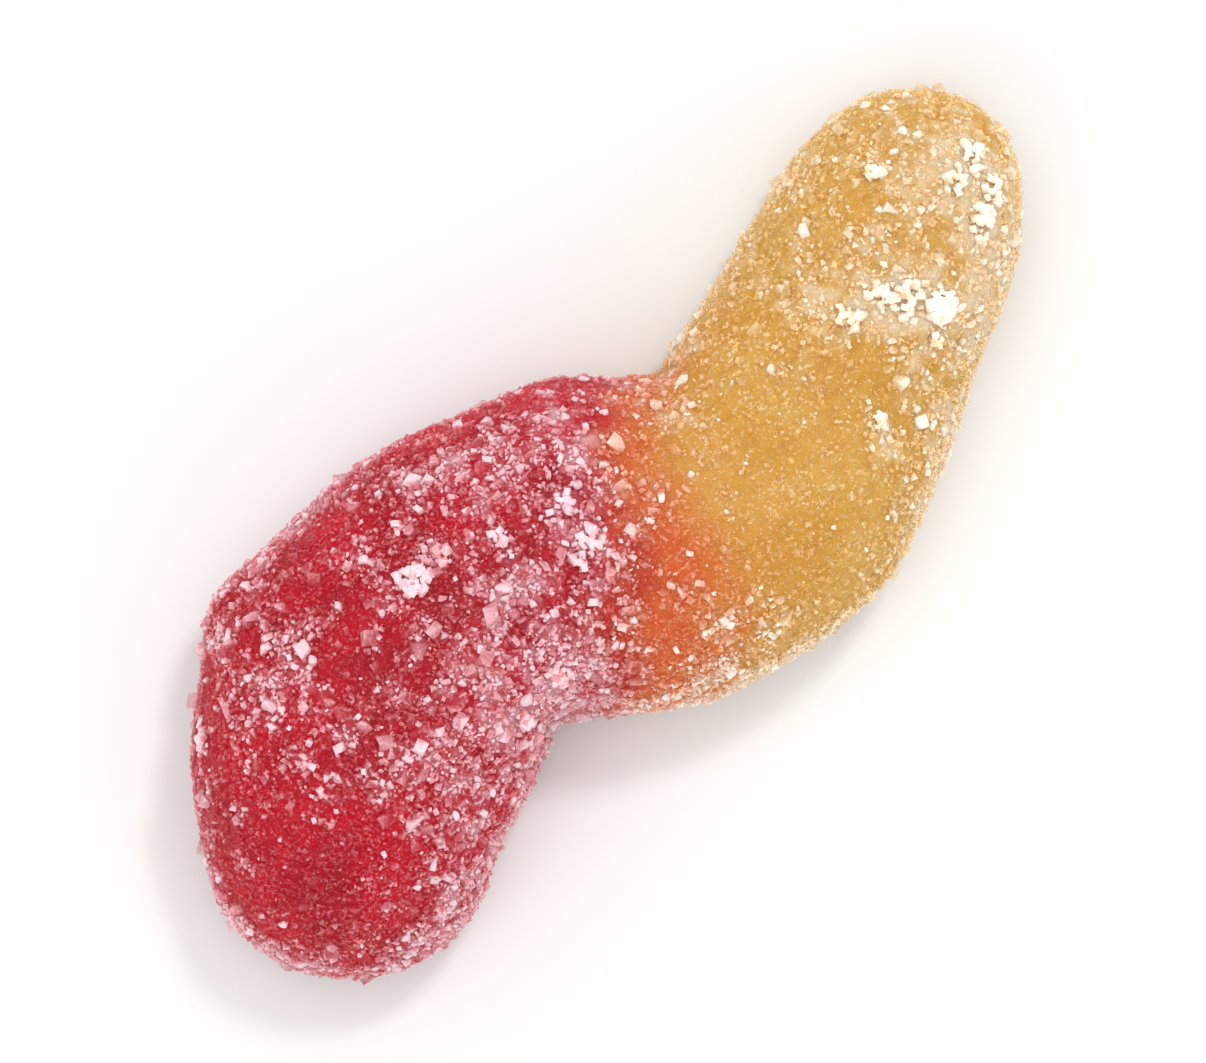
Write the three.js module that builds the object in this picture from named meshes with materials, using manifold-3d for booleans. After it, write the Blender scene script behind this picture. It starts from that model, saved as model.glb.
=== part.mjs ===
// A sour gummy worm: one soft sweet in two colours, bent once each way, with coarse sugar stuck all over it.
// It lies on the flat side that faced up in its mould, which touches the table and carries no sugar.
// Millimetres, +Z up. The worm lies along X on Z = 0, its red end towards -X and its yellow end towards +X.
import * as THREE from "three";
import { mergeVertices } from "three/addons/utils/BufferGeometryUtils.js";
import Module from "manifold-3d";

const wasm = await Module();
wasm.setup();

// The spine, seen from above: its length from tip to tip, and each bend's middle, reach and turn to the left.
const LENGTH = 50.5;
const BENDS = [
  { along: 16.0, over: 19.2, turn: -74.6 },
  { along: 30.5, over: 11.9, turn: 55.9 },
  { along: 46.1, over: 7.1, turn: 24.6 },
];

// The width at even steps from the red tip to the yellow tip, before the tips are rounded off.
const WIDTHS = [10.0, 14.7, 14.2, 13.9, 11.4, 11.8];
const RED_TIP = 4.5;
const YELLOW_TIP = 8.8;
const TIP_POWER = 2.2;

// The cross-section: a low dome on a flat foot. Heights are shares of the width.
const HEIGHT = 0.76;
const WIDEST_AT = 0.3;
const CROWN_POWER = 2.25;
const FOOT_POWER = 3.4;
const FOOT_SUNK = 0.3;
const FOOT_REACH = 0.4; // how quickly the foot spreads out from a tip, as a power of the section's size

// Soft lumps and hollows: how far along, which way round (0 is the left side, 90 the top), how high and wide.
const LUMPS = [
  { along: 6.0, around: 70, rise: 0.35, reach: 5.0 },
  { along: 12.8, around: 8, rise: 0.65, reach: 1.9 },
  { along: 15.6, around: 12, rise: -0.5, reach: 1.5 },
  { along: 17.5, around: 168, rise: -0.55, reach: 2.0 },
  { along: 21.0, around: 118, rise: 0.4, reach: 3.6 },
  { along: 23.0, around: 8, rise: 0.3, reach: 2.6 },
  { along: 30.6, around: 12, rise: -0.5, reach: 1.9 },
  { along: 33.0, around: 150, rise: 0.3, reach: 3.6 },
  { along: 40.0, around: 128, rise: -0.3, reach: 3.4 },
  { along: 45.0, around: 60, rise: 0.3, reach: 3.2 },
];
const RIPPLES = [
  { rise: 0.12, along: 0.5, around: 2, start: 1.3 },
  { rise: 0.06, along: 1.1, around: -3, start: 0.4 },
];

// The sugar: the largest grains alone, half sunk into the gummy and spread round it above its foot.
const GRAINS = 224;
const GRAIN_SMALLEST = 0.5;
const GRAIN_LARGEST = 1.0;
const GRAIN_BLOCK = [1, 0.8, 0.65]; // a blocky grain's sides, as shares of its size
const GRAIN_PRISM = [0.42, 0.5, 0.9, 5]; // a prism's end radii and height, as shares, and its number of sides
const GRAIN_RAISED = 0.05;
const GRAIN_HALF_DIAGONAL = 0.75;
const SUGAR_FROM = -22;
const SUGAR_TO = 202;
const TIP_CLEAR = 0.6;
const SEED = 7;

// The colours. Red and yellow meet in an orange border across the worm, wide near one side and narrow at the
// other: its turn from the worm's own line, the two levels across, and where it lies and how far it reaches.
const RED = new THREE.Color(0xc8203c);
const ORANGE = new THREE.Color(0xe26a34);
const YELLOW = new THREE.Color(0xe2ab45);
const SEAM_TURN = -56.5;
const SEAM_LEVELS = [-3.0, 4.0];
const SEAM_PLACES = [2.9, 1.4];
const SEAM_REACHES = [4.6, 2.6];
const SUGARED_ROUGHNESS = 0.55;

// How finely the gummy is faceted.
const RINGS = 60;
const RING_SIDES = 28;
const TIP_CROWDING = 0.55;
const SPINE_STEPS = 400;

const degrees = THREE.MathUtils.degToRad;
const smooth = (x) => THREE.MathUtils.smoothstep(x, 0, 1);
const signedPower = (x, power) => Math.sign(x) * Math.pow(Math.abs(x), power);
const total = (numbers) => numbers.reduce((sum, number) => sum + number, 0);

// Which way the spine heads at a distance along it, in radians, from where it starts.
function headingAt(along) {
  return degrees(total(BENDS.map((b) => b.turn * smooth((along - b.along) / b.over + 0.5))));
}

// The spine's points in steps of equal length, turned so that a straight line from tip to tip lies along X.
function makeSpine() {
  const step = LENGTH / SPINE_STEPS;
  const points = [new THREE.Vector2(0, 0)];
  for (let i = 0; i < SPINE_STEPS; i++) {
    const heading = headingAt((i + 0.5) * step);
    points.push(new THREE.Vector2(Math.cos(heading), Math.sin(heading)).multiplyScalar(step).add(points[i]));
  }
  const turned = -points[SPINE_STEPS].angle();
  points.forEach((p) => p.rotateAround(points[0], turned));
  return { points, turned };
}

const spine = makeSpine();
const widthCurve = new THREE.SplineCurve(WIDTHS.map((width, i) => new THREE.Vector2(i, width)));

// A point of the spine, and its heading, at a distance along it.
function spineAt(along) {
  const place = THREE.MathUtils.clamp((along / LENGTH) * SPINE_STEPS, 0, SPINE_STEPS);
  const before = Math.min(Math.floor(place), SPINE_STEPS - 1);
  const point = spine.points[before].clone().lerp(spine.points[before + 1], place - before);
  return { point, heading: headingAt(along) + spine.turned };
}

// How much of the full section is left as a tip rounds off: 0 at the tip, 1 where the tip begins.
function tipShare(along) {
  const nearest = Math.min(along / RED_TIP, (LENGTH - along) / YELLOW_TIP, 1);
  return Math.pow(1 - Math.pow(1 - nearest, TIP_POWER), 1 / TIP_POWER);
}

// The surface without its lumps, at a distance along it and an angle round it, with the way out from there.
function plainSurface(along, around) {
  const { point, heading } = spineAt(along);
  const width = widthCurve.getPoint(along / LENGTH).y;
  const share = tipShare(along);
  const level = width * HEIGHT * WIDEST_AT;
  const side = Math.cos(around);
  const up = Math.sin(around);
  const power = 2 / (up > 0 ? CROWN_POWER : FOOT_POWER);
  const crown = (width * HEIGHT - level) * share;
  const foot = (level + FOOT_SUNK) * Math.pow(share, FOOT_REACH);
  const left = new THREE.Vector3(-Math.sin(heading), Math.cos(heading), 0);
  const place = new THREE.Vector3(point.x, point.y, level + (up > 0 ? crown : foot) * signedPower(up, power));
  place.addScaledVector(left, (width / 2) * share * signedPower(side, power));
  return { place, out: left.multiplyScalar(side).setZ(up) };
}

const lumpCentres = LUMPS.map((lump) => plainSurface(lump.along, degrees(lump.around)).place);

// The gummy's surface: the plain one with its lumps and ripples, flat where it lies on the table.
function surface(along, around) {
  const { place, out } = plainSurface(along, around);
  const fall = (i) => Math.exp(-place.distanceToSquared(lumpCentres[i]) / LUMPS[i].reach ** 2);
  const lumps = total(LUMPS.map((lump, i) => lump.rise * fall(i)));
  const ripples = total(RIPPLES.map((r) => r.rise * Math.sin(r.along * along + r.around * around + r.start)));
  place.addScaledVector(out, lumps + ripples * tipShare(along));
  place.z = Math.max(place.z, 0);
  return { place, out };
}

// The bare gummy: rings round the spine, closer together towards the tips, and a point at each tip.
function makeGummy() {
  const corners = [surface(0, 0).place];
  for (let ring = 1; ring < RINGS; ring++) {
    const t = ring / RINGS;
    const along = LENGTH * (t - (TIP_CROWDING * Math.sin(2 * Math.PI * t)) / (2 * Math.PI));
    for (let k = 0; k < RING_SIDES; k++) corners.push(surface(along, (2 * Math.PI * k) / RING_SIDES).place);
  }
  corners.push(surface(LENGTH, 0).place);
  const faces = [];
  const last = corners.length - 1;
  const corner = (ring, k) => 1 + (ring - 1) * RING_SIDES + (k % RING_SIDES);
  for (let k = 0; k < RING_SIDES; k++) {
    faces.push(0, corner(1, k + 1), corner(1, k));
    for (let ring = 1; ring < RINGS - 1; ring++) {
      faces.push(corner(ring, k), corner(ring + 1, k + 1), corner(ring + 1, k));
      faces.push(corner(ring, k), corner(ring, k + 1), corner(ring + 1, k + 1));
    }
    faces.push(last, corner(RINGS - 1, k), corner(RINGS - 1, k + 1));
  }
  const gummy = new THREE.BufferGeometry().setFromPoints(corners);
  gummy.setIndex(faces);
  return gummy;
}

// A repeatable random number from 0 to 1.
function makeRandom(seed) {
  let state = seed;
  return () => {
    state = (state * 1664525 + 1013904223) % 4294967296;
    return state / 4294967296;
  };
}

// One grain of sugar: a small block or prism, turned any way, with half of it in the gummy.
function makeGrain(along, around, random) {
  const { place, out } = surface(along, around);
  const size = THREE.MathUtils.lerp(GRAIN_SMALLEST, GRAIN_LARGEST, random() ** 2);
  const blocky = random() < 0.5;
  const grain = blocky ? new THREE.BoxGeometry(...GRAIN_BLOCK) : new THREE.CylinderGeometry(...GRAIN_PRISM);
  grain.scale(size, size, size);
  grain.rotateX(random() * Math.PI).rotateY(random() * Math.PI).rotateZ(random() * Math.PI);
  const centre = place.addScaledVector(out.normalize(), size * GRAIN_RAISED);
  centre.z = Math.max(centre.z, size * GRAIN_HALF_DIAGONAL);
  return grain.translate(centre.x, centre.y, centre.z);
}

// The grains, each a step further along and a golden share of a turn from the last, so they lie evenly.
function makeSugar() {
  const random = makeRandom(SEED);
  const golden = (Math.sqrt(5) - 1) / 2;
  return Array.from({ length: GRAINS }, (_, i) => {
    const along = THREE.MathUtils.lerp(TIP_CLEAR, LENGTH - TIP_CLEAR, (i + random()) / GRAINS);
    const around = THREE.MathUtils.lerp(SUGAR_FROM, SUGAR_TO, (i * golden) % 1);
    return makeGrain(along, degrees(around), random);
  });
}

// A closed geometry as a solid, its shared corners merged.
function solidOf(geometry) {
  geometry.deleteAttribute("normal");
  geometry.deleteAttribute("uv");
  const merged = mergeVertices(geometry);
  const vertProperties = merged.attributes.position.array;
  const triVerts = new Uint32Array(merged.index.array);
  return new wasm.Manifold(new wasm.Mesh({ numProp: 3, vertProperties, triVerts }));
}

// How far a place lies past the border of the two colours, from -1 on its red side to 1 on its yellow side.
function pastSeam(x, y) {
  const turn = degrees(SEAM_TURN);
  const onward = x * Math.cos(turn) + y * Math.sin(turn);
  const across = y * Math.cos(turn) - x * Math.sin(turn);
  const level = THREE.MathUtils.smoothstep(across, ...SEAM_LEVELS);
  const place = THREE.MathUtils.lerp(...SEAM_PLACES, level);
  const reach = THREE.MathUtils.lerp(...SEAM_REACHES, level);
  return THREE.MathUtils.clamp((onward - place) / reach, -1, 1);
}

// Red at one end, yellow at the other, and orange where they run together.
function paint(geometry) {
  const at = geometry.attributes.position;
  const colours = new Float32Array(at.count * 3);
  for (let i = 0; i < at.count; i++) {
    const past = pastSeam(at.getX(i), at.getY(i));
    const colour = past < 0 ? RED : YELLOW;
    ORANGE.clone().lerp(colour, smooth(Math.abs(past))).toArray(colours, i * 3);
  }
  geometry.setAttribute("color", new THREE.BufferAttribute(colours, 3));
}

// The gummy with its sugar as one solid, with the middle of the bare gummy over the origin.
function makeWorm() {
  const gummy = makeGummy();
  const box = new THREE.Box3().setFromBufferAttribute(gummy.attributes.position);
  const middle = box.getCenter(new THREE.Vector3());
  const fused = wasm.Manifold.union([solidOf(gummy), ...makeSugar().map(solidOf)]).getMesh();
  const geometry = new THREE.BufferGeometry();
  geometry.setAttribute("position", new THREE.BufferAttribute(fused.vertProperties, fused.numProp));
  geometry.setIndex(new THREE.BufferAttribute(fused.triVerts, 1));
  geometry.translate(-middle.x, -middle.y, 0);
  paint(geometry);
  geometry.computeVertexNormals();
  const material = new THREE.MeshStandardMaterial({
    vertexColors: true,
    roughness: SUGARED_ROUGHNESS,
    metalness: 0,
  });
  const worm = new THREE.Mesh(geometry, material);
  worm.name = "gummy_worm";
  return worm;
}

const group = new THREE.Group();
group.name = "sour_gummy_worm";
group.add(makeWorm());

export default group;
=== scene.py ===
"""The looks of a sour gummy worm: a soft red and yellow sweet with coarse sugar stuck all over it.

The worm's form is worked out in millimetres from the same sizes as its solid's, and every piece is then put
into that solid's frame, in metres and +Z up. The sugar is one joined mesh for each kind of crystal.
"""

import math
from typing import NamedTuple

import bmesh
import bpy
import numpy as np
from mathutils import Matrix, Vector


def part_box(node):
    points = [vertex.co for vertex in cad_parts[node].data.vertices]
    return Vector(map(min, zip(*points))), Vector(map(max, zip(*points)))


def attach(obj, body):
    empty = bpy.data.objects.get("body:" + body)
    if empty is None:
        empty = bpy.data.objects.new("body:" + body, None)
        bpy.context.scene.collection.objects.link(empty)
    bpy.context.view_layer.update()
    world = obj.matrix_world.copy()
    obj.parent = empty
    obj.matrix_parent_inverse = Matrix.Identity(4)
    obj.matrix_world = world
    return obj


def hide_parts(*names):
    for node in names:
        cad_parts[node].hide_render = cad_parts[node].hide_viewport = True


NODE = "gummy_worm"
BODY = "root"

# Lengths are in millimetres and turns in degrees, where nothing else is said. A millimetre in metres:
MM = 0.001

# What the randomness of the skin, of the crystals and of the sugar's patches starts from.
SKIN_SEED = 11
CRYSTAL_SEED = 12
PATCH_SEED = 13

# The spine from above: its length from tip to tip, and each bend's middle, reach and turn to the left.
LENGTH = 50.5
BENDS = ((16.0, 19.2, -74.6), (30.5, 11.9, 55.9), (46.1, 7.1, 24.6))

# The width at even steps from the red tip to the yellow tip, before the tips are rounded off.
WIDTHS = np.array((10.0, 14.7, 14.2, 13.9, 11.4, 11.8))
RED_TIP = 4.5
YELLOW_TIP = 8.8
TIP_POWER = 2.2

# The cross-section: a low dome on a flat foot. Heights are shares of the width.
HEIGHT = 0.76
WIDEST_AT = 0.3
CROWN_POWER = 2.25
FOOT_POWER = 3.4
FOOT_SUNK = 0.3
FOOT_REACH = 0.4

# Soft lumps and hollows: how far along, which way round in degrees, how high and how wide.
LUMPS = (
    (6.0, 70, 0.35, 5.0),
    (12.8, 8, 0.65, 1.9),
    (15.6, 12, -0.5, 1.5),
    (17.5, 168, -0.55, 2.0),
    (21.0, 118, 0.4, 3.6),
    (23.0, 8, 0.3, 2.6),
    (30.6, 12, -0.5, 1.9),
    (33.0, 150, 0.3, 3.6),
    (40.0, 128, -0.3, 3.4),
    (45.0, 60, 0.3, 3.2),
)
# Long ripples: how high, how quick along and round, and where they start, in radians.
RIPPLES = ((0.12, 0.5, 2, 1.3), (0.06, 1.1, -3, 0.4))

# The skin's own fine grain: how high and how long.
SKIN_RISE = 0.035
SKIN_GRAIN = 0.8

# How finely the spine and the skin are divided, and how much closer the rings stand towards the tips.
SPINE_STEPS = 400
RINGS = 340
RING_SIDES = 180
TIP_CROWDING = 0.6

# How finely the form is looked over to find its box, and the small step by which its slope is found.
BOX_STEPS = (600, 361)
SLOPE_STEP = 0.01
TINY = 1e-9

# The waves that add up to any unevenness: how many, and how far their lengths differ.
WAVES = 28
WAVE_SPREAD = (0.6, 1.5)

# The sugar's thickness: on the whole, how uneven in broad and in small patches, and how much more there is
# on the flanks, between two levels from the table. That flank share is partly more sugar and partly painted
# light, which makes the flanks paler where less light reaches them.
THICK = 0.38
PATCHES = ((7.0, 0.16), (2.4, 0.2), (1.1, 0.2))
FLANK_SUGAR_AND_LIGHT = 0.6
FLANK_LEVELS = (3.5, 8.0)

# Where the sugar lies thick or thin: how far along, which way round, how much more or less, and how wide.
FROST = (
    # The red end.
    (3.2, 145, 0.55, 3.0),
    (5.1, 82, -0.85, 3.6),
    (8.0, 160, 0.15, 1.8),
    (8.8, 98, 0.35, 2.4),
    (9.2, 82, 0.4, 2.0),
    (9.5, 32, -0.4, 3.0),
    (10.1, 117, 0.35, 3.0),
    (10.2, 42, -0.2, 1.8),
    (11.8, 66, 0.3, 2.2),
    (12.7, 83, -0.4, 1.8),
    (13.6, 58, 0.25, 1.5),
    # The middle of the red part.
    (15.4, 46, -0.5, 2.6),
    (15.9, 98, -0.2, 1.9),
    (16.2, 138, 0.3, 3.6),
    (17.4, 112, 0.35, 2.4),
    (18.3, 44, 0.25, 2.0),
    (18.5, 20, -0.25, 3.4),
    (18.6, 103, 0.4, 1.6),
    (19.5, 150, 0.15, 3.0),
    (20.0, 130, 0.4, 2.4),
    (20.6, 66, 0.5, 2.8),
    (21.8, 113, 0.4, 2.0),
    # The border between the colours.
    (22.0, 67, -0.15, 1.3),
    (23.2, 52, 0.4, 1.9),
    (24.5, 60, 0.5, 3.0),
    (24.6, 34, 0.35, 2.6),
    (26.0, 160, 0.55, 3.0),
    (26.6, 110, -0.3, 1.8),
    (27.0, 140, 0.35, 1.6),
    (30.0, 172, 0.55, 3.4),
    (30.2, 147, -0.25, 1.8),
    # The middle of the yellow part.
    (31.5, 112, -0.5, 4.4),
    (32.0, 95, -0.2, 3.0),
    (35.8, 61, -0.3, 2.6),
    (36.8, 112, 0.3, 1.4),
    (37.0, 160, 0.55, 4.0),
    (37.9, 104, -0.4, 1.5),
    # The yellow end.
    (40.0, 67, 0.7, 1.5),
    (40.0, 90, 0.8, 1.6),
    (41.5, 45, 0.1, 2.6),
    (41.6, 104, 0.9, 1.7),
    (43.0, 155, 0.4, 4.0),
    (44.0, 98, -0.35, 1.6),
    (44.0, 116, 0.3, 4.0),
    (45.5, 84, 0.3, 1.8),
    (45.5, 88, 0.3, 3.0),
    (46.8, 118, 1.0, 2.2),
)

# White clumps of sugar: how far along, which way round, how wide, how many crystals and how white.
CLUMPS = (
    (17.0, 78, 0.62, 34, 0.8),
    (18.1, 77, 0.6, 16, 0.55),
    (23.2, 74, 0.42, 12, 0.85),
    (24.0, 87, 0.5, 16, 0.85),
    (23.4, 91, 0.4, 8, 0.7),
    (20.5, 80, 0.35, 8, 0.75),
    (42.0, 121, 0.72, 38, 0.95),
    (41.6, 104, 0.8, 24, 0.75),
    (41.3, 95, 0.6, 16, 0.7),
    (46.6, 131, 0.6, 18, 0.9),
    (45.5, 126, 0.7, 20, 0.8),
    (47.7, 119, 0.6, 16, 0.85),
    (46.6, 108, 0.6, 14, 0.7),
    (46.2, 74, 0.4, 8, 0.7),
    (40.6, 127, 0.3, 6, 0.7),
    (36.4, 114, 0.4, 8, 0.7),
    (39.8, 88, 0.5, 12, 0.65),
    (16.5, 138, 0.7, 18, 0.7),
    (20.9, 128, 0.7, 18, 0.7),
    (12.6, 50, 0.35, 5, 0.7),
    (9.0, 30, 0.5, 8, 0.7),
)
# The crystals of a clump: their sizes, how high they are heaped, how many corners are cut off, how rough
# they are, how far each one's white differs, and how far round the clump each lies from the one before and
# how unevenly, in radians.
CLUMP_SIZES = (0.16, 0.46)
CLUMP_RISE = 0.26
CLUMP_CUTS = 3
CLUMP_ROUGHNESS = 0.1
CLUMP_WHITER = (-0.2, 0.12)
GOLDEN_TURN = 2.4
TURN_UNEVEN = (-0.5, 0.5)
# The powder round a clump: how thick, and how much wider than the clump.
CLUMP_POWDER = 0.9
POWDER_WIDER = 1.2


class Kind(NamedTuple):
    """A kind of crystal. Its room and its height above the skin are in shares of a crystal's own size."""

    tried: int  # how many places are tried
    sizes: tuple  # the smallest and the largest
    cuts: int  # how many of a block's corners are cut off
    room: float  # how much room a crystal keeps to the next
    gathered: float  # how strongly they gather where the sugar is thick
    raised: tuple  # how high its middle lies above the skin, the least and the most
    milky: float  # how milky they are, where 1 is as most are
    white: float  # what share is white
    roughness: float  # how rough the clear ones are


CRYSTALS = {
    "sugar_coarse": Kind(560, (0.44, 0.84), 4, 0.9, 0.6, (-0.25, 0.05), 1.15, 0.035, 0.06),
    "sugar_medium": Kind(6400, (0.3, 0.44), 3, 0.85, 0.9, (-0.18, 0.16), 1.1, 0.022, 0.08),
    "sugar_small": Kind(22000, (0.2, 0.3), 2, 0.75, 0.8, (-0.1, 0.22), 1.0, 0.018, 0.1),
    "sugar_fine": Kind(50000, (0.12, 0.2), 0, 0.7, 0.6, (-0.05, 0.3), 0.95, 0.02, 0.12),
}
# Within a kind, small sizes are commoner by this power.
SMALLER_COMMONER = 1.6

# How many shapes of crystal each kind has. A shape is a skewed block about 1 across: its half length, the
# ranges of its half width and half thickness, how far a cut slides in along each edge, how uneven its
# corners are, and its skew. Sides that face the same way by more than this cosine are one facet.
SHAPES = 14
HALF_LENGTH = 0.5
HALF_WIDTH = (0.34, 0.46)
HALF_THICKNESS = (0.26, 0.4)
CUT_REACH = (0.4, 1.1)
CORNER_UNEVEN = (0.9, 1.05)
SKEW = (-0.35, 0.35)
SAME_FACET = 0.9

# Where crystals can lie: how finely the skin is divided along and round, how far the tips are kept free,
# the side of the boxes that neighbours are looked up in, which is more than any crystal's size, and the
# least and the most that the sugar's thickness counts.
SPREAD_STEPS = (900, 560)
TIP_GAP = 0.02
LOOKUP_SIDE = 1.0
THICK_LIMITS = (0.15, 1.4)
# No sugar sticks lower than this, where the worm lies on the table.
SUGAR_LOWEST = 0.12

# Where the sugar lies thick, crystals are sunk deeper into it, by up to this share of their size.
SUNK_MORE = 0.18
SUNK_BETWEEN = (0.5, 1.3)

# A crystal's milk goes from 0, clear, to 1, white. It is drawn from a curve that favours low values, and it
# grows with the sugar's thickness. Where the sugar is thick it comes closer to the middle.
MILK_CURVE = (1.4, 2.8)
MILK_THICK_LIMITS = (0.05, 1.6)
MILK_LEAST = 0.05
MILK_BY_THICK = 1.1
MILK_MIDDLE = 0.5
MILK_EVENED = 0.65
MILK_EVENED_BETWEEN = (0.65, 1.25)
MILK_MOST = 1.1
# The white crystals, commoner where the sugar is thick, and their milk.
WHITE_BASE = 0.5
WHITE_MILK = (0.6, 1.0)
# Inside one crystal, painted light is added to the milk: a painted highlight that grows outwards, towards
# the crystal's outer corners, and painted glints that differ by facet and by corner, standing for light
# refracted in it.
OUTWARD_PAINTED_HIGHLIGHT = 0.3
FACET_PAINTED_GLINT = 0.1
CORNER_PAINTED_GLINT = 0.14

# The yellow end starts between these places along X. It has fewer crystals, and the finest sugar takes
# their place on its flanks. Its small crystals are clearer, from the second of two sizes down to the first.
YELLOW_BETWEEN = (-1.0, 4.0)
YELLOW_SPARSER = 0.6
YELLOW_FLANK_LESS = 0.7
YELLOW_CLEARER = 0.45
YELLOW_CLEARER_SIZES = (0.28, 0.4)

# The colours meet across the worm. The way from red to yellow is given in degrees from X. Where the border
# lies on that way, and how far it reaches, change between two levels across it. It wavers in broad waves.
SEAM_TURN = -56.5
SEAM_LEVELS = (-3.0, 4.0)
SEAM_PLACES = (2.9, 1.4)
SEAM_REACHES = (4.1, 2.6)
WAVER_SIZE = 4.0
WAVER = 5.0
# The span of the border in its own reaches, and the shares of it where it is orange and where it is golden,
# which is yellow with this much orange.
SEAM_SPAN = (-1, 2.2)
ORANGE_STOPS = (0.19, 0.27)
GOLDEN_STOP = 0.62
GOLDEN_ORANGE = 0.16

# Colours as seen on screen, from 0 to 255: at the red end, at the border and at the yellow end.
DEEP_GUMMY = ((158, 2, 24), (207, 96, 42), (201, 147, 52))
LIGHT_GUMMY = ((192, 6, 34), (207, 96, 42), (207, 159, 74))
THIN_FROST = ((216, 108, 120), (228, 160, 116), (230, 200, 152))
THICK_FROST = ((222, 164, 170), (234, 212, 180), (234, 212, 180))
CLEAR_SUGAR = ((206, 22, 48), (228, 118, 66), (242, 204, 128))
MILKY_SUGAR = ((230, 160, 168), (238, 184, 160), (244, 220, 184))
WHITE_SUGAR = ((236, 208, 215), (246, 232, 224), (246, 236, 224))

# How much of its fine detail the materials' noise shows.
NOISE_ROUGHNESS = 0.55

# The gummy's mottle, and its dust of the finest sugar, which lies in patches.
MOTTLE_SIZE = 4.5
MOTTLE_BETWEEN = (0.35, 0.65)
DUST_SIZE = 0.16
DUST_BETWEEN = (0.5, 0.68)
DUST_PATCH_SIZE = 2.4
DUST_PATCH_BETWEEN = (0.42, 0.7)
DUST_PATCH_SHARES = (0.5, 1.25)
# The veil that grows unevenly on the gummy with the sugar's thickness, and turns pale where it is thickest.
# On the flanks it also carries painted light.
VEIL_SIZE = 0.32
VEIL_UNEVEN = 1.4
VEIL_BETWEEN = (0.36, 1.5)
VEIL_MOST = 0.9
PALE_BETWEEN = (0.9, 1.8)
# The gummy's gloss and its fine relief.
GLOSS_SIZE = 0.5
GLOSS_BETWEEN = (0.3, 0.7)
GUMMY_ROUGHNESS = (0.3, 0.6)
RELIEF_SIZE = 0.35
RELIEF_DUST = 0.5
RELIEF_DEPTH = 0.09
# How far light scatters in the gummy and in the sugar.
GUMMY_SCATTER = 1.6
SUGAR_SCATTER = 0.3

# Clouds inside the crystals, the milk at which they turn milky and white, how rough milk makes them, and
# how much they hide from clear to milky.
CLOUD_SIZE = 0.12
CLOUD = 0.5
MILKY_BETWEEN = (0.0, 0.6)
WHITE_BETWEEN = (0.5, 0.95)
MILK_ROUGHNESS = 0.4
OPAQUE_BETWEEN = (0.0, 0.85)
OPACITIES = (0.16, 0.95)

# The pale card that the worm lies on: half its side in metres, and its two faint shades.
CARD_HALF = 1.5
CARD_GRAIN = 60
CARD_BETWEEN = (0.3, 0.7)
CARD_SHADES = ((0.8, 0.79, 0.78, 1), (0.84, 0.83, 0.82, 1))
CARD_ROUGHNESS = 0.8

# Square soft boxes: where each stands, its side and its power, in metres and watts.
LIGHTS = {
    "over": ((0.05, 0.05, 0.6), 0.5, 0.72),
    "side": ((0.29, 0.02, 0.45), 0.08, 0.75),
    "fill": ((-0.35, 0.07, 0.3), 0.3, 0.3),
}
STUDIO_WHITE = (1, 1, 1, 1)
STUDIO_STRENGTH = 0.85

# The photograph's frame and its view: from straight above, the worm's own line rising to the right.
PHOTO_SIZE = (1206, 1063)
VIEW_TURN = 56.5
LENS = 180
SENSOR = 36
NEAREST = 0.01
WORM_SHARE = 0.84


def ease(value, low=0.0, high=1.0):
    """A soft step from 0 at low to 1 at high."""
    share = np.clip((value - low) / (high - low), 0, 1)
    return share * share * (3 - 2 * share)


def signed_power(value, power):
    """A power of the value's size, with the value's own sign."""
    return np.sign(value) * np.abs(value) ** power


def heading_at(along):
    """Which way the spine heads at a distance along it, in radians, from where it starts."""
    return np.radians(sum(turn * ease((along - at) / over + 0.5) for at, over, turn in BENDS))


def make_spine():
    """The spine's points in steps of equal length, turned so that a line from tip to tip lies along X."""
    step = LENGTH / SPINE_STEPS
    heading = heading_at((np.arange(SPINE_STEPS) + 0.5) * step)
    x = np.concatenate(([0], np.cumsum(np.cos(heading) * step)))
    y = np.concatenate(([0], np.cumsum(np.sin(heading) * step)))
    turned = -math.atan2(y[-1], x[-1])
    cosine, sine = math.cos(turned), math.sin(turned)
    return x * cosine - y * sine, x * sine + y * cosine, turned


SPINE_X, SPINE_Y, TURNED = make_spine()
SPINE_ALONG = np.linspace(0, LENGTH, SPINE_STEPS + 1)


def width_at(along):
    """The width, as one smooth curve through its stations."""
    last = len(WIDTHS) - 1
    place = last * np.asarray(along, float) / LENGTH
    station = np.clip(np.floor(place).astype(int), 0, last)
    share = place - station
    before, here = WIDTHS[np.maximum(station - 1, 0)], WIDTHS[station]
    after, beyond = WIDTHS[np.minimum(station + 1, last)], WIDTHS[np.minimum(station + 2, last)]
    leave, arrive = (after - before) / 2, (beyond - here) / 2
    cubic = 2 * here - 2 * after + leave + arrive
    square = -3 * here + 3 * after - 2 * leave - arrive
    return ((cubic * share + square) * share + leave) * share + here


def tip_share(along):
    """How much of the full section is left as a tip rounds off."""
    nearest = np.clip(np.minimum(along / RED_TIP, (LENGTH - along) / YELLOW_TIP), 0, 1)
    return (1 - (1 - nearest) ** TIP_POWER) ** (1 / TIP_POWER)


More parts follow.
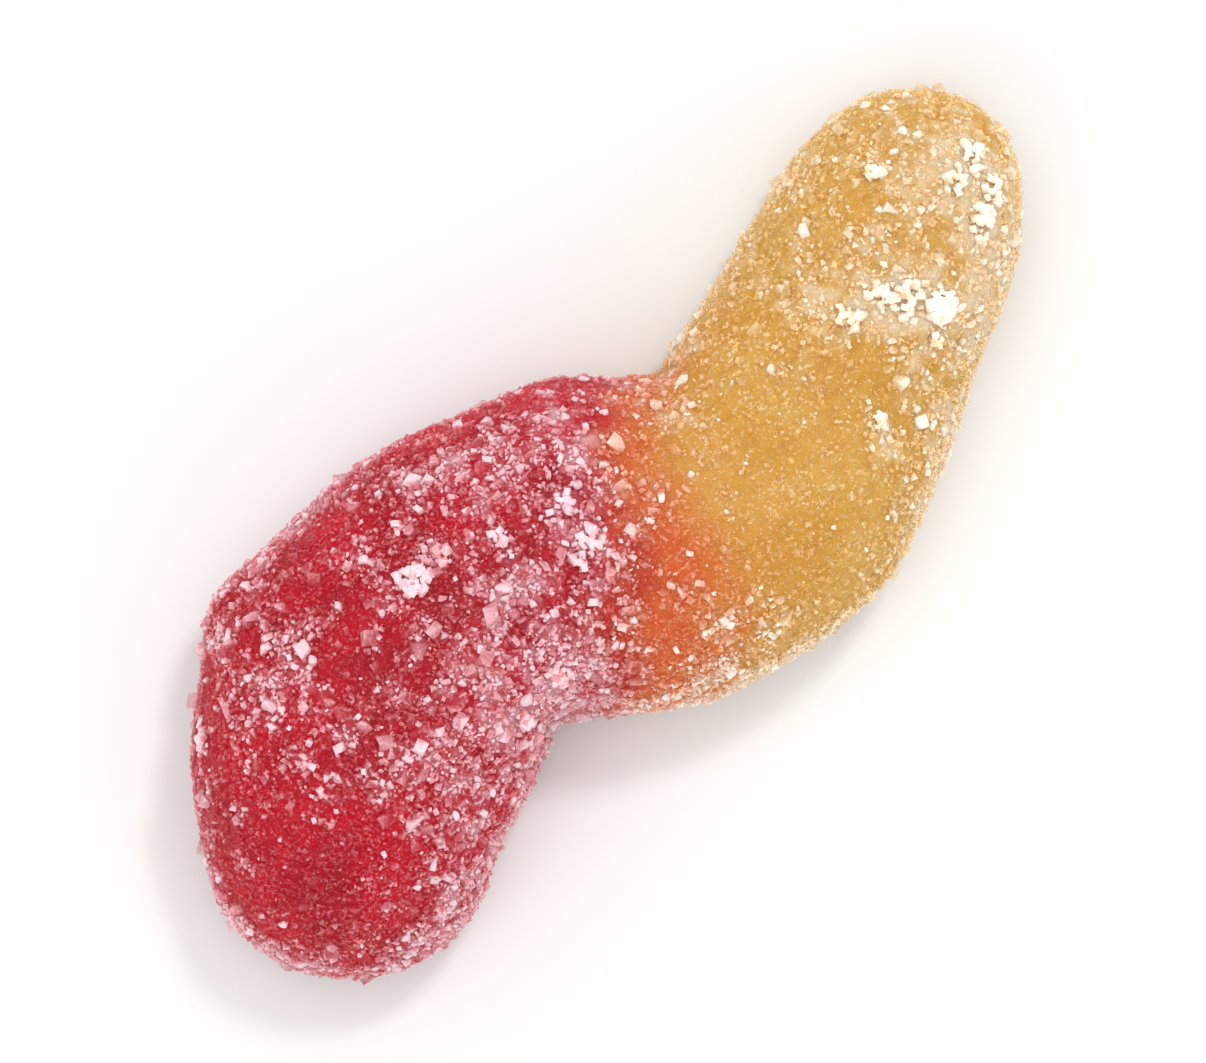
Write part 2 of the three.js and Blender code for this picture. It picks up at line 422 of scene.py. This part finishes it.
def plain_surface(along, around):
    """The surface without its lumps, in millimetres, and the way out from there."""
    heading = heading_at(along) + TURNED
    width, share = width_at(along), tip_share(along)
    level = width * HEIGHT * WIDEST_AT
    side, up = np.cos(around), np.sin(around)
    power = np.where(up > 0, 2 / CROWN_POWER, 2 / FOOT_POWER)
    reach = np.where(up > 0, (width * HEIGHT - level) * share, (level + FOOT_SUNK) * share**FOOT_REACH)
    across = width / 2 * share * signed_power(side, power)
    x = np.interp(along, SPINE_ALONG, SPINE_X) - np.sin(heading) * across
    y = np.interp(along, SPINE_ALONG, SPINE_Y) + np.cos(heading) * across
    place = np.stack((x, y, level + reach * signed_power(up, power)), -1)
    out = np.stack((-np.sin(heading) * side, np.cos(heading) * side, up), -1)
    return place, out


def spot(along, around_degrees):
    """One place on the plain surface."""
    return plain_surface(np.array(float(along)), np.array(math.radians(around_degrees)))[0]


LUMP_PLACES = [spot(along, around) for along, around, _, _ in LUMPS]


def surface(along, around):
    """The gummy's surface in millimetres, with its lumps and ripples, flat where it lies on the table."""
    place, out = plain_surface(along, around)
    rise = np.zeros(place.shape[:-1])
    for high, quick_along, quick_round, start in RIPPLES:
        rise += high * np.sin(quick_along * along + quick_round * around + start) * tip_share(along)
    for centre, (_, _, high, reach) in zip(LUMP_PLACES, LUMPS):
        rise += high * np.exp(-((place - centre) ** 2).sum(-1) / reach**2)
    place = place + out * rise[..., None]
    place[..., 2] = np.maximum(place[..., 2], 0)
    return place


def slopes(along, around):
    """The surface's own direction outwards, and how much area a step along and round covers."""
    step = SLOPE_STEP
    ahead = (surface(along + step, around) - surface(along - step, around)) / (2 * step)
    onward = (surface(along, around + step) - surface(along, around - step)) / (2 * step)
    out = np.cross(onward, ahead)
    area = np.linalg.norm(out, axis=-1)
    return out / np.maximum(area, TINY)[..., None], area


def noise(places, length, rng):
    """Smooth random values about 0, with lumps of about that length, at places in millimetres."""
    value = np.zeros(places.shape[:-1])
    for _ in range(WAVES):
        direction = rng.normal(size=3)
        direction *= rng.uniform(*WAVE_SPREAD) / np.linalg.norm(direction)
        value += np.sin(places @ direction * (2 * math.pi / length) + rng.uniform(0, 2 * math.pi))
    return value * math.sqrt(2 / WAVES)


def find_middle():
    """The middle of the gummy's box, at table height, in the surface's own millimetres."""
    steps_along, steps_round = BOX_STEPS
    along, around = np.meshgrid(
        np.linspace(0, LENGTH, steps_along), np.linspace(0, 2 * math.pi, steps_round), indexing="ij"
    )
    places = surface(along, around).reshape(-1, 3)
    return (places.min(0) + places.max(0)) / 2 * (1, 1, 0)


MIDDLE = find_middle()


def yellowness(places):
    """How far the yellow end has taken over at places on the worm, from 0 to 1."""
    return ease(places[..., 0] - MIDDLE[0], *YELLOW_BETWEEN)


def near(places, along, around, reach):
    """How near places are to a spot on the worm: 1 on it, fading to 0 beyond its reach."""
    return np.exp(-((places - spot(along, around)) ** 2).sum(-1) / reach**2)


def thickness_and_flank_light(places, flank_less=0.0):
    """How thick and white the sugar lies at places on the worm, about 0.5 on the whole, painted light on
    the flanks included.
    """
    rng = np.random.default_rng(PATCH_SEED)
    thick = np.full(places.shape[:-1], THICK)
    for length, uneven in PATCHES:
        thick += uneven * noise(places, length, rng)
    # More sugar on the flanks, and painted light there that makes them paler where less light falls.
    low, high = FLANK_LEVELS
    flank_sugar_and_light = ease(places[..., 2], high, low)
    thick += FLANK_SUGAR_AND_LIGHT * flank_sugar_and_light * (1 - flank_less * yellowness(places))
    for along, around, more, reach in FROST:
        thick += more * near(places, along, around, reach)
    for along, around, wide, _, white in CLUMPS:
        thick += CLUMP_POWDER * white * near(places, along, around, POWDER_WIDER * wide)
    return thick


def add_piece(name, places, faces, material):
    """A mesh of the object, from places in millimetres, that rides on the body and stands for the solid."""
    mesh = bpy.data.meshes.new(name)
    mesh.from_pydata(((places - MIDDLE) * MM).tolist(), [], faces)
    mesh.materials.append(material)
    piece = bpy.data.objects.new(name, mesh)
    bpy.context.scene.collection.objects.link(piece)
    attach(piece, BODY)
    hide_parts(NODE)
    return piece


def make_gummy(material):
    """The gummy itself: rings round the spine, closer together near the tips, and a point at each tip."""
    even = np.arange(1, RINGS) / RINGS
    along = LENGTH * (even - TIP_CROWDING * np.sin(2 * math.pi * even) / (2 * math.pi))
    around = 2 * math.pi * np.arange(RING_SIDES) / RING_SIDES
    along, around = np.meshgrid(along, around, indexing="ij")
    rings = surface(along, around)
    grain = noise(rings, SKIN_GRAIN, np.random.default_rng(SKIN_SEED)) * SKIN_RISE * ease(rings[..., 2])
    rings += slopes(along, around)[0] * grain[..., None]
    red_tip, yellow_tip = (surface(np.array(tip), np.array(0.0))[None] for tip in (0.0, LENGTH))
    places = np.concatenate((red_tip, rings.reshape(-1, 3), yellow_tip))
    here = 1 + np.arange(RINGS - 1)[:, None] * RING_SIDES + np.arange(RING_SIDES)
    beside = np.roll(here, -1, axis=1)
    quads = np.stack((here[:-1], here[1:], beside[1:], beside[:-1]), -1).reshape(-1, 4)
    last = len(places) - 1
    faces = quads.tolist()
    faces += [(0, a, b) for a, b in zip(here[0].tolist(), beside[0].tolist())]
    faces += [(last, b, a) for a, b in zip(here[-1].tolist(), beside[-1].tolist())]
    piece = add_piece("gummy", places, faces, material)
    piece.data.shade_smooth()
    # The sugar's thickness for the gummy's veil, painted light on the flanks included.
    sugar_and_flank_light = piece.data.attributes.new("sugar_and_flank_light", "FLOAT", "POINT")
    sugar_and_flank_light.data.foreach_set("value", thickness_and_flank_light(places).astype(np.float32))


def block_points(rng, cuts):
    """The corners of a skewed block about 1 across, with three points in place of each cut corner."""
    half = np.array((HALF_LENGTH, rng.uniform(*HALF_WIDTH), rng.uniform(*HALF_THICKNESS)))
    corners = np.array([(x, y, z) for x in (-1, 1) for y in (-1, 1) for z in (-1, 1)], float)
    cut = rng.permutation(len(corners))[:cuts]
    points = []
    for i, corner in enumerate(corners):
        if i not in cut:
            points.append(corner)
            continue
        for axis in range(3):
            slid = corner.copy()
            slid[axis] *= 1 - rng.uniform(*CUT_REACH)
            points.append(slid)
    points = np.array(points) * half * rng.uniform(*CORNER_UNEVEN, (len(points), 1))
    points[:, 0] += points[:, 2] * rng.uniform(*SKEW)
    return points


def crystal_shape(rng, cuts):
    """A sugar crystal's corners, its three-cornered sides, and for each side the first of its facet."""
    block = bmesh.new()
    for point in block_points(rng, cuts):
        block.verts.new(point)
    hull = bmesh.ops.convex_hull(block, input=block.verts)
    left_over = {*hull["geom_interior"], *hull["geom_unused"]}
    bmesh.ops.delete(block, geom=list(left_over), context="VERTS")
    block.verts.index_update()
    corners = np.array([corner.co for corner in block.verts])
    sides = np.array([[corner.index for corner in side.verts] for side in block.faces])
    block.free()
    first, second, third = (corners[sides[:, i]] for i in range(3))
    facing = np.cross(second - first, third - first)
    facing /= np.linalg.norm(facing, axis=1)[:, None]
    facets = np.argmax(facing @ facing.T > SAME_FACET, axis=1)
    return corners, sides, facets


def any_turn(count, rng):
    """Random rotations, evenly spread, as matrices."""
    w, x, y, z = rng.normal(size=(4, count))
    length = np.sqrt(w * w + x * x + y * y + z * z)
    w, x, y, z = w / length, x / length, y / length, z / length
    rows = (
        (1 - 2 * (y * y + z * z), 2 * (x * y - z * w), 2 * (x * z + y * w)),
        (2 * (x * y + z * w), 1 - 2 * (x * x + z * z), 2 * (y * z - x * w)),
        (2 * (x * z - y * w), 2 * (y * z + x * w), 1 - 2 * (x * x + y * y)),
    )
    return np.moveaxis(np.array(rows), -1, 0)


class Spread:
    """Chooses places on the worm's skin, more of them where the sugar lies thick, none too near another."""

    def __init__(self):
        self.rng = np.random.default_rng(CRYSTAL_SEED)
        steps_along, steps_round = SPREAD_STEPS
        along = np.linspace(TIP_GAP, LENGTH - TIP_GAP, steps_along)
        around = np.radians(np.linspace(-90, 270, steps_round, endpoint=False))
        self.step = along[1] - along[0], around[1] - around[0]
        self.along, self.around = (grid.ravel() for grid in np.meshgrid(along, around, indexing="ij"))
        places = surface(self.along, self.around)
        self.area = slopes(self.along, self.around)[1] * (places[:, 2] > SUGAR_LOWEST)
        self.area *= 1 - YELLOW_SPARSER * yellowness(places)
        self.thick = thickness_and_flank_light(places, YELLOW_FLANK_LESS)
        self.taken = {}

    def draw(self, count, gathered):
        """Places along and round the worm, by area and by how thick the sugar lies."""
        weight = self.area * np.clip(self.thick, *THICK_LIMITS) ** gathered
        picked = self.rng.choice(len(weight), count, p=weight / weight.sum())
        shift = self.rng.uniform(-0.5, 0.5, (2, count))
        along = np.clip(self.along[picked] + shift[0] * self.step[0], TIP_GAP / 2, LENGTH - TIP_GAP / 2)
        return along, self.around[picked] + shift[1] * self.step[1]

    def clear(self, places, sizes, room):
        """Which of the places are far enough from each other and from all that lie there already."""
        kept = []
        for i, (place, size) in enumerate(zip(places.tolist(), sizes.tolist())):
            home = [math.floor(value / LOOKUP_SIDE) for value in place]
            others = (
                other
                for dx in (-1, 0, 1)
                for dy in (-1, 0, 1)
                for dz in (-1, 0, 1)
                for other in self.taken.get((home[0] + dx, home[1] + dy, home[2] + dz), ())
            )
            if all(math.dist(place, other[:3]) > room * (size + other[3]) / 2 for other in others):
                self.taken.setdefault(tuple(home), []).append((*place, size))
                kept.append(i)
        return np.array(kept, int)


def add_sugar(name, places, out, sizes, milk, cuts, material, rng):
    """A piece of crystals of one kind, each of some shape and turned any way, with its own milk and painted
    glints.
    """
    shapes = [crystal_shape(rng, cuts) for _ in range(SHAPES)]
    turns = any_turn(len(places), rng)
    which = rng.integers(len(shapes), size=len(places))
    corners, faces, milk_and_painted_glints, first = [], [], [], 0
    for i, (shape, sides, facets) in enumerate(shapes):
        mine = np.flatnonzero(which == i)
        made = np.einsum("nij,vj->nvi", turns[mine], shape) * sizes[mine, None, None]
        high = np.einsum("nvi,ni->nv", made, out[mine]) / sizes[mine, None]
        # Painted glints by facet and by corner, and a painted highlight towards the outer corners, are
        # added to the milk.
        facet_painted_glint = rng.normal(0, FACET_PAINTED_GLINT, (len(mine), len(sides)))[:, facets]
        corner_painted_glint_and_highlight = OUTWARD_PAINTED_HIGHLIGHT * high + rng.normal(0, CORNER_PAINTED_GLINT, high.shape)
        veil = milk[mine, None, None] + corner_painted_glint_and_highlight[:, sides] + facet_painted_glint[:, :, None]
        milk_and_painted_glints.append(veil.ravel())
        made += places[mine, None, :]
        made[..., 2] -= np.minimum(made[..., 2].min(1), 0)[:, None]
        corners.append(made.reshape(-1, 3))
        starts = first + np.arange(len(mine)) * len(shape)
        faces.append((sides[None] + starts[:, None, None]).reshape(-1, 3))
        first += len(mine) * len(shape)
    piece = add_piece(name, np.concatenate(corners), np.concatenate(faces).tolist(), material)
    # The stored milk holds the painted glints and highlight as well as each crystal's own whiteness.
    white = piece.data.attributes.new("milk", "FLOAT", "CORNER")
    white.data.foreach_set("value", np.clip(np.concatenate(milk_and_painted_glints), 0, 1).astype(np.float32))


def milkiness(kind, places, sizes, rng):
    """How milky each crystal is: more so where the sugar is thick and on the flanks, where it carries
    painted light, and a few are white.
    """
    count = len(places)
    thick = np.clip(thickness_and_flank_light(places, YELLOW_FLANK_LESS), *MILK_THICK_LIMITS)
    milk = rng.beta(*MILK_CURVE, count) * (MILK_LEAST + MILK_BY_THICK * thick) * kind.milky
    milk += (MILK_MIDDLE - milk) * MILK_EVENED * ease(thick, *MILK_EVENED_BETWEEN)
    smaller, larger = YELLOW_CLEARER_SIZES
    milk *= 1 - YELLOW_CLEARER * yellowness(places) * ease(sizes, larger, smaller)
    bright = rng.uniform(0, 1, count) < kind.white * (WHITE_BASE + thick)
    return np.clip(np.where(bright, rng.uniform(*WHITE_MILK, count), milk), 0, MILK_MOST)


def lay_sugar(spread, name):
    """Crystals of one kind over the whole worm, partly sunk into it, the largest placed first."""
    kind, rng = CRYSTALS[name], spread.rng
    along, around = spread.draw(kind.tried, kind.gathered)
    smallest, largest = kind.sizes
    sizes = smallest + (largest - smallest) * rng.uniform(0, 1, kind.tried) ** SMALLER_COMMONER
    sizes = -np.sort(-sizes)
    out = slopes(along, around)[0]
    places = surface(along, around)
    sunk = SUNK_MORE * ease(thickness_and_flank_light(places, YELLOW_FLANK_LESS), *SUNK_BETWEEN)
    places += out * (sizes * (rng.uniform(*kind.raised, kind.tried) - sunk))[:, None]
    kept = spread.clear(places, sizes, kind.room)
    places, out, sizes = places[kept], out[kept], sizes[kept]
    milk = milkiness(kind, places, sizes, rng)
    add_sugar(name, places, out, sizes, milk, kind.cuts, sugar_material(name, kind.roughness), rng)


def lay_clumps(spread):
    """Clumps of white sugar that stand up from the coat, and that later crystals keep off."""
    rng = spread.rng
    places, outs, sizes, milk = [], [], [], []
    for at, facing, wide, count, white in CLUMPS:
        for i in range(count):
            share = math.sqrt((i + 0.5) / count)
            turn = i * GOLDEN_TURN + rng.uniform(*TURN_UNEVEN)
            along = np.array(at + wide * share * math.cos(turn))
            around = np.array(math.radians(facing) + wide * share * math.sin(turn) / (width_at(at) / 2))
            out = slopes(along, around)[0]
            places.append(surface(along, around) + out * CLUMP_RISE * (1 - share**2))
            outs.append(out)
            sizes.append(rng.uniform(*CLUMP_SIZES))
            milk.append(white + rng.uniform(*CLUMP_WHITER))
    places, outs, sizes, milk = np.array(places), np.array(outs), np.array(sizes), np.array(milk)
    spread.clear(places, sizes, 0)
    material = sugar_material("sugar_clumps", CLUMP_ROUGHNESS)
    add_sugar("sugar_clumps", places, outs, sizes, milk, CLUMP_CUTS, material, rng)


class Nodes:
    """Short names for adding shader nodes to one material. Lengths are in millimetres."""

    def __init__(self, name):
        self.material = bpy.data.materials.new(name)
        self.material.use_nodes = True
        self.tree = self.material.node_tree
        self.shader = self.tree.nodes["Principled BSDF"]

    def plain(self, **values):
        """Sets the shader's own numbers and colours."""
        for name, value in values.items():
            self.shader.inputs[name.replace("_", " ")].default_value = value

    def link(self, source, target):
        """Links one socket to another."""
        self.tree.links.new(source, target)

    def put(self, source, name):
        """Links a value to the shader."""
        self.link(source, self.shader.inputs[name])

    def fill(self, node, inputs):
        """Links or sets a node's inputs."""
        for key, value in inputs.items():
            if isinstance(value, bpy.types.NodeSocket):
                self.link(value, node.inputs[key])
            else:
                node.inputs[key].default_value = value

    def place(self):
        """The place on the object."""
        return self.tree.nodes.new("ShaderNodeTexCoord").outputs["Object"]

    def attribute(self, name):
        """A value that is stored in the mesh."""
        node = self.tree.nodes.new("ShaderNodeAttribute")
        node.attribute_name = name
        return node.outputs["Fac"]

    def noise(self, size, detail=3.0):
        """Smooth random values from 0 to 1, with lumps of about that size."""
        node = self.tree.nodes.new("ShaderNodeTexNoise")
        self.fill(node, {"Vector": self.place(), "Scale": 1 / (size * MM)})
        self.fill(node, {"Detail": detail, "Roughness": NOISE_ROUGHNESS})
        return node.outputs["Fac"]

    def swing(self, size, amount, detail=3.0):
        """Noise about 0, as far as half the amount each way."""
        return self.math("MULTIPLY", self.math("SUBTRACT", self.noise(size, detail), 0.5), amount)

    def math(self, operation, a, b):
        """One operation on two numbers."""
        node = self.tree.nodes.new("ShaderNodeMath")
        node.operation = operation
        self.fill(node, {0: a, 1: b})
        return node.outputs[0]

    def dot(self, vector, direction):
        """How far a place lies in a direction."""
        node = self.tree.nodes.new("ShaderNodeVectorMath")
        node.operation = "DOT_PRODUCT"
        self.fill(node, {0: vector, 1: direction})
        return node.outputs["Value"]

    def rescale(self, value, between, to=(0.0, 1.0)):
        """A soft step from one number to another as the value goes between two others."""
        node = self.tree.nodes.new("ShaderNodeMapRange")
        node.interpolation_type = "SMOOTHSTEP"
        self.fill(node, {"Value": value, "From Min": between[0], "From Max": between[1]})
        self.fill(node, {"To Min": to[0], "To Max": to[1]})
        return node.outputs[0]

    def ramp(self, value, stops):
        """Colours that run into each other from stop to stop."""
        node = self.tree.nodes.new("ShaderNodeValToRGB")
        while len(node.color_ramp.elements) < len(stops):
            node.color_ramp.elements.new(1.0)
        for element, (position, colour) in zip(node.color_ramp.elements, stops):
            element.position = position
            element.color = (*colour, 1)
        self.link(value, node.inputs[0])
        return node.outputs[0]

    def mix(self, share, a, b):
        """A mix of two colours, whose sockets have the numbers 6, 7 and 2."""
        node = self.tree.nodes.new("ShaderNodeMix")
        node.data_type = "RGBA"
        self.fill(node, {0: share, 6: a, 7: b})
        return node.outputs[2]

    def bump(self, height, distance):
        """Fine relief for the shader."""
        node = self.tree.nodes.new("ShaderNodeBump")
        self.fill(node, {"Height": height, "Distance": distance * MM, "Strength": 1.0})
        return node.outputs[0]


def linear(red, green, blue):
    """A colour as seen on screen, 0 to 255, in the shader's own numbers."""
    seen = [value / 255 for value in (red, green, blue)]
    return tuple(value / 12.92 if value <= 0.04045 else ((value + 0.055) / 1.055) ** 2.4 for value in seen)


def poured(nodes, colours):
    """Red, orange and yellow as they were poured together: a soft wavering border across the worm."""
    turn = math.radians(SEAM_TURN)
    onward = nodes.dot(nodes.place(), (math.cos(turn) / MM, math.sin(turn) / MM, 0))
    across = nodes.dot(nodes.place(), (-math.sin(turn) / MM, math.cos(turn) / MM, 0))
    waver = nodes.swing(WAVER_SIZE, WAVER, detail=2.0)
    border = nodes.rescale(across, SEAM_LEVELS, SEAM_PLACES)
    reach = nodes.rescale(across, SEAM_LEVELS, SEAM_REACHES)
    beyond = nodes.math("SUBTRACT", nodes.math("ADD", onward, waver), border)
    past = nodes.rescale(nodes.math("DIVIDE", beyond, reach), SEAM_SPAN)
    red, orange, yellow = (linear(*colour) for colour in colours)
    golden = tuple(y + GOLDEN_ORANGE * (o - y) for o, y in zip(orange, yellow))
    orange_from, orange_to = ORANGE_STOPS
    stops = ((0.0, red), (orange_from, orange), (orange_to, orange), (GOLDEN_STOP, golden), (1.0, yellow))
    return nodes.ramp(past, stops)


def gummy_material():
    """Clear coloured gelatine, mottled, with the finest sugar as a frost on it, made paler on the flanks by
    painted light.
    """
    nodes = Nodes("gummy")
    mottle = nodes.rescale(nodes.noise(MOTTLE_SIZE), MOTTLE_BETWEEN)
    body = nodes.mix(mottle, poured(nodes, DEEP_GUMMY), poured(nodes, LIGHT_GUMMY))
    patches = nodes.rescale(nodes.noise(DUST_PATCH_SIZE, detail=2.0), DUST_PATCH_BETWEEN, DUST_PATCH_SHARES)
    dust = nodes.rescale(nodes.noise(DUST_SIZE, detail=2.0), DUST_BETWEEN)
    # The sugar's thickness, with the painted light on the flanks.
    sugar_and_flank_light = nodes.math("ADD", nodes.attribute("sugar_and_flank_light"), nodes.swing(VEIL_SIZE, VEIL_UNEVEN))
    veil = nodes.rescale(sugar_and_flank_light, VEIL_BETWEEN, (0.0, VEIL_MOST))
    frost = nodes.math("MAXIMUM", nodes.math("MULTIPLY", patches, dust), veil)
    pale = nodes.rescale(sugar_and_flank_light, PALE_BETWEEN)
    frosting = nodes.mix(pale, poured(nodes, THIN_FROST), poured(nodes, THICK_FROST))
    nodes.put(nodes.mix(frost, body, frosting), "Base Color")
    nodes.put(nodes.rescale(nodes.noise(GLOSS_SIZE), GLOSS_BETWEEN, GUMMY_ROUGHNESS), "Roughness")
    relief = nodes.math("ADD", nodes.noise(RELIEF_SIZE), nodes.math("MULTIPLY", dust, RELIEF_DUST))
    nodes.put(nodes.bump(relief, RELIEF_DEPTH), "Normal")
    nodes.shader.subsurface_method = "RANDOM_WALK"
    nodes.plain(
        Subsurface_Weight=0.75,
        Subsurface_Radius=(1.0, 0.8, 0.55),
        Subsurface_Scale=GUMMY_SCATTER * MM,
        IOR=1.45,
        Specular_IOR_Level=0.2,
    )
    return nodes.material


def sugar_material(name, roughness):
    """Sugar crystals, each somewhere between clear, when the gummy's colour shows in it, and white, with
    painted glints on their facets and corners.
    """
    nodes = Nodes(name)
    # The stored milk holds painted glints and a painted highlight as well as each crystal's own whiteness.
    milk = nodes.math("ADD", nodes.attribute("milk"), nodes.swing(CLOUD_SIZE, CLOUD, detail=2.0))
    clear, milky, white = (poured(nodes, colours) for colours in (CLEAR_SUGAR, MILKY_SUGAR, WHITE_SUGAR))
    veiled = nodes.mix(nodes.rescale(milk, MILKY_BETWEEN), clear, milky)
    nodes.put(nodes.mix(nodes.rescale(milk, WHITE_BETWEEN), veiled, white), "Base Color")
    nodes.put(nodes.rescale(milk, (0.0, 1.0), (roughness, MILK_ROUGHNESS)), "Roughness")
    nodes.put(nodes.rescale(milk, OPAQUE_BETWEEN, OPACITIES), "Alpha")
    nodes.shader.subsurface_method = "BURLEY"
    nodes.plain(
        Subsurface_Weight=0.7,
        Subsurface_Radius=(1.0, 0.9, 0.85),
        Subsurface_Scale=SUGAR_SCATTER * MM,
        IOR=1.53,
        Specular_IOR_Level=0.22,
    )
    return nodes.material


def card_material():
    """A plain pale card."""
    nodes = Nodes("card")
    shade = nodes.rescale(nodes.noise(CARD_GRAIN, detail=2.0), CARD_BETWEEN)
    nodes.put(nodes.mix(shade, *CARD_SHADES), "Base Color")
    nodes.plain(Roughness=CARD_ROUGHNESS)
    return nodes.material


def add_floor():
    """The card that the worm lies on."""
    mesh = bpy.data.meshes.new("card")
    side = CARD_HALF
    corners = [(-side, -side, 0), (side, -side, 0), (side, side, 0), (-side, side, 0)]
    mesh.from_pydata(corners, [], [(0, 1, 2, 3)])
    mesh.materials.append(card_material())
    card = bpy.data.objects.new("card", mesh)
    bpy.context.scene.collection.objects.link(card)


def add_light(name, place, side, power):
    """A square soft box that looks at the worm."""
    data = bpy.data.lights.new(name, "AREA")
    data.size = side
    data.energy = power
    light = bpy.data.objects.new(name, data)
    bpy.context.scene.collection.objects.link(light)
    light.location = place
    light.rotation_euler = (-light.location).to_track_quat("-Z", "Y").to_euler()


def light_scene():
    """A bright even studio: a wide soft box above, a small one for the sparkle and a weak one opposite."""
    world = bpy.data.worlds.new("studio")
    world.use_nodes = True
    world.node_tree.nodes["Background"].inputs["Color"].default_value = STUDIO_WHITE
    world.node_tree.nodes["Background"].inputs["Strength"].default_value = STUDIO_STRENGTH
    bpy.context.scene.world = world
    for name, (place, side, power) in LIGHTS.items():
        add_light(name, place, side, power)
    bpy.context.scene.view_settings.view_transform = "Standard"


def add_camera(solid):
    """Straight above the worm, rolled so that it lies across the picture as it does in the photograph."""
    data = bpy.data.cameras.new("camera")
    data.lens = LENS
    data.sensor_width = SENSOR
    data.clip_start = NEAREST
    camera = bpy.data.objects.new("camera", data)
    bpy.context.scene.collection.objects.link(camera)
    turn = math.radians(VIEW_TURN)
    low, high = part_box(NODE)
    worm = [vertex.co for vertex in solid.data.vertices]
    across = [point.x * math.cos(turn) - point.y * math.sin(turn) for point in worm]
    upward = [point.x * math.sin(turn) + point.y * math.cos(turn) for point in worm]
    view_high = (max(upward) - min(upward)) / WORM_SHARE
    view_wide = view_high * PHOTO_SIZE[0] / PHOTO_SIZE[1]
    middle_across = (max(across) + min(across)) / 2
    middle_upward = (max(upward) + min(upward)) / 2
    camera.location = (
        middle_across * math.cos(turn) + middle_upward * math.sin(turn),
        -middle_across * math.sin(turn) + middle_upward * math.cos(turn),
        (low.z + high.z) / 2 + view_wide * LENS / SENSOR,
    )
    camera.rotation_euler = (0, 0, -turn)
    bpy.context.scene.camera = camera


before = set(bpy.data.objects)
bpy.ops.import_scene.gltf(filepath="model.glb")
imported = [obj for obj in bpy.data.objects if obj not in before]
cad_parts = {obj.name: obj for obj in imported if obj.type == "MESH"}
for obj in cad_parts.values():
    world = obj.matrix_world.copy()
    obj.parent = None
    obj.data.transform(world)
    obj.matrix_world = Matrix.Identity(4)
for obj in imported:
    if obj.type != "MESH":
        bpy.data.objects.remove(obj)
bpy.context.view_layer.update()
add_camera(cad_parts[NODE])
light_scene()
add_floor()
make_gummy(gummy_material())
spread = Spread()
lay_clumps(spread)
for name in CRYSTALS:
    lay_sugar(spread, name)
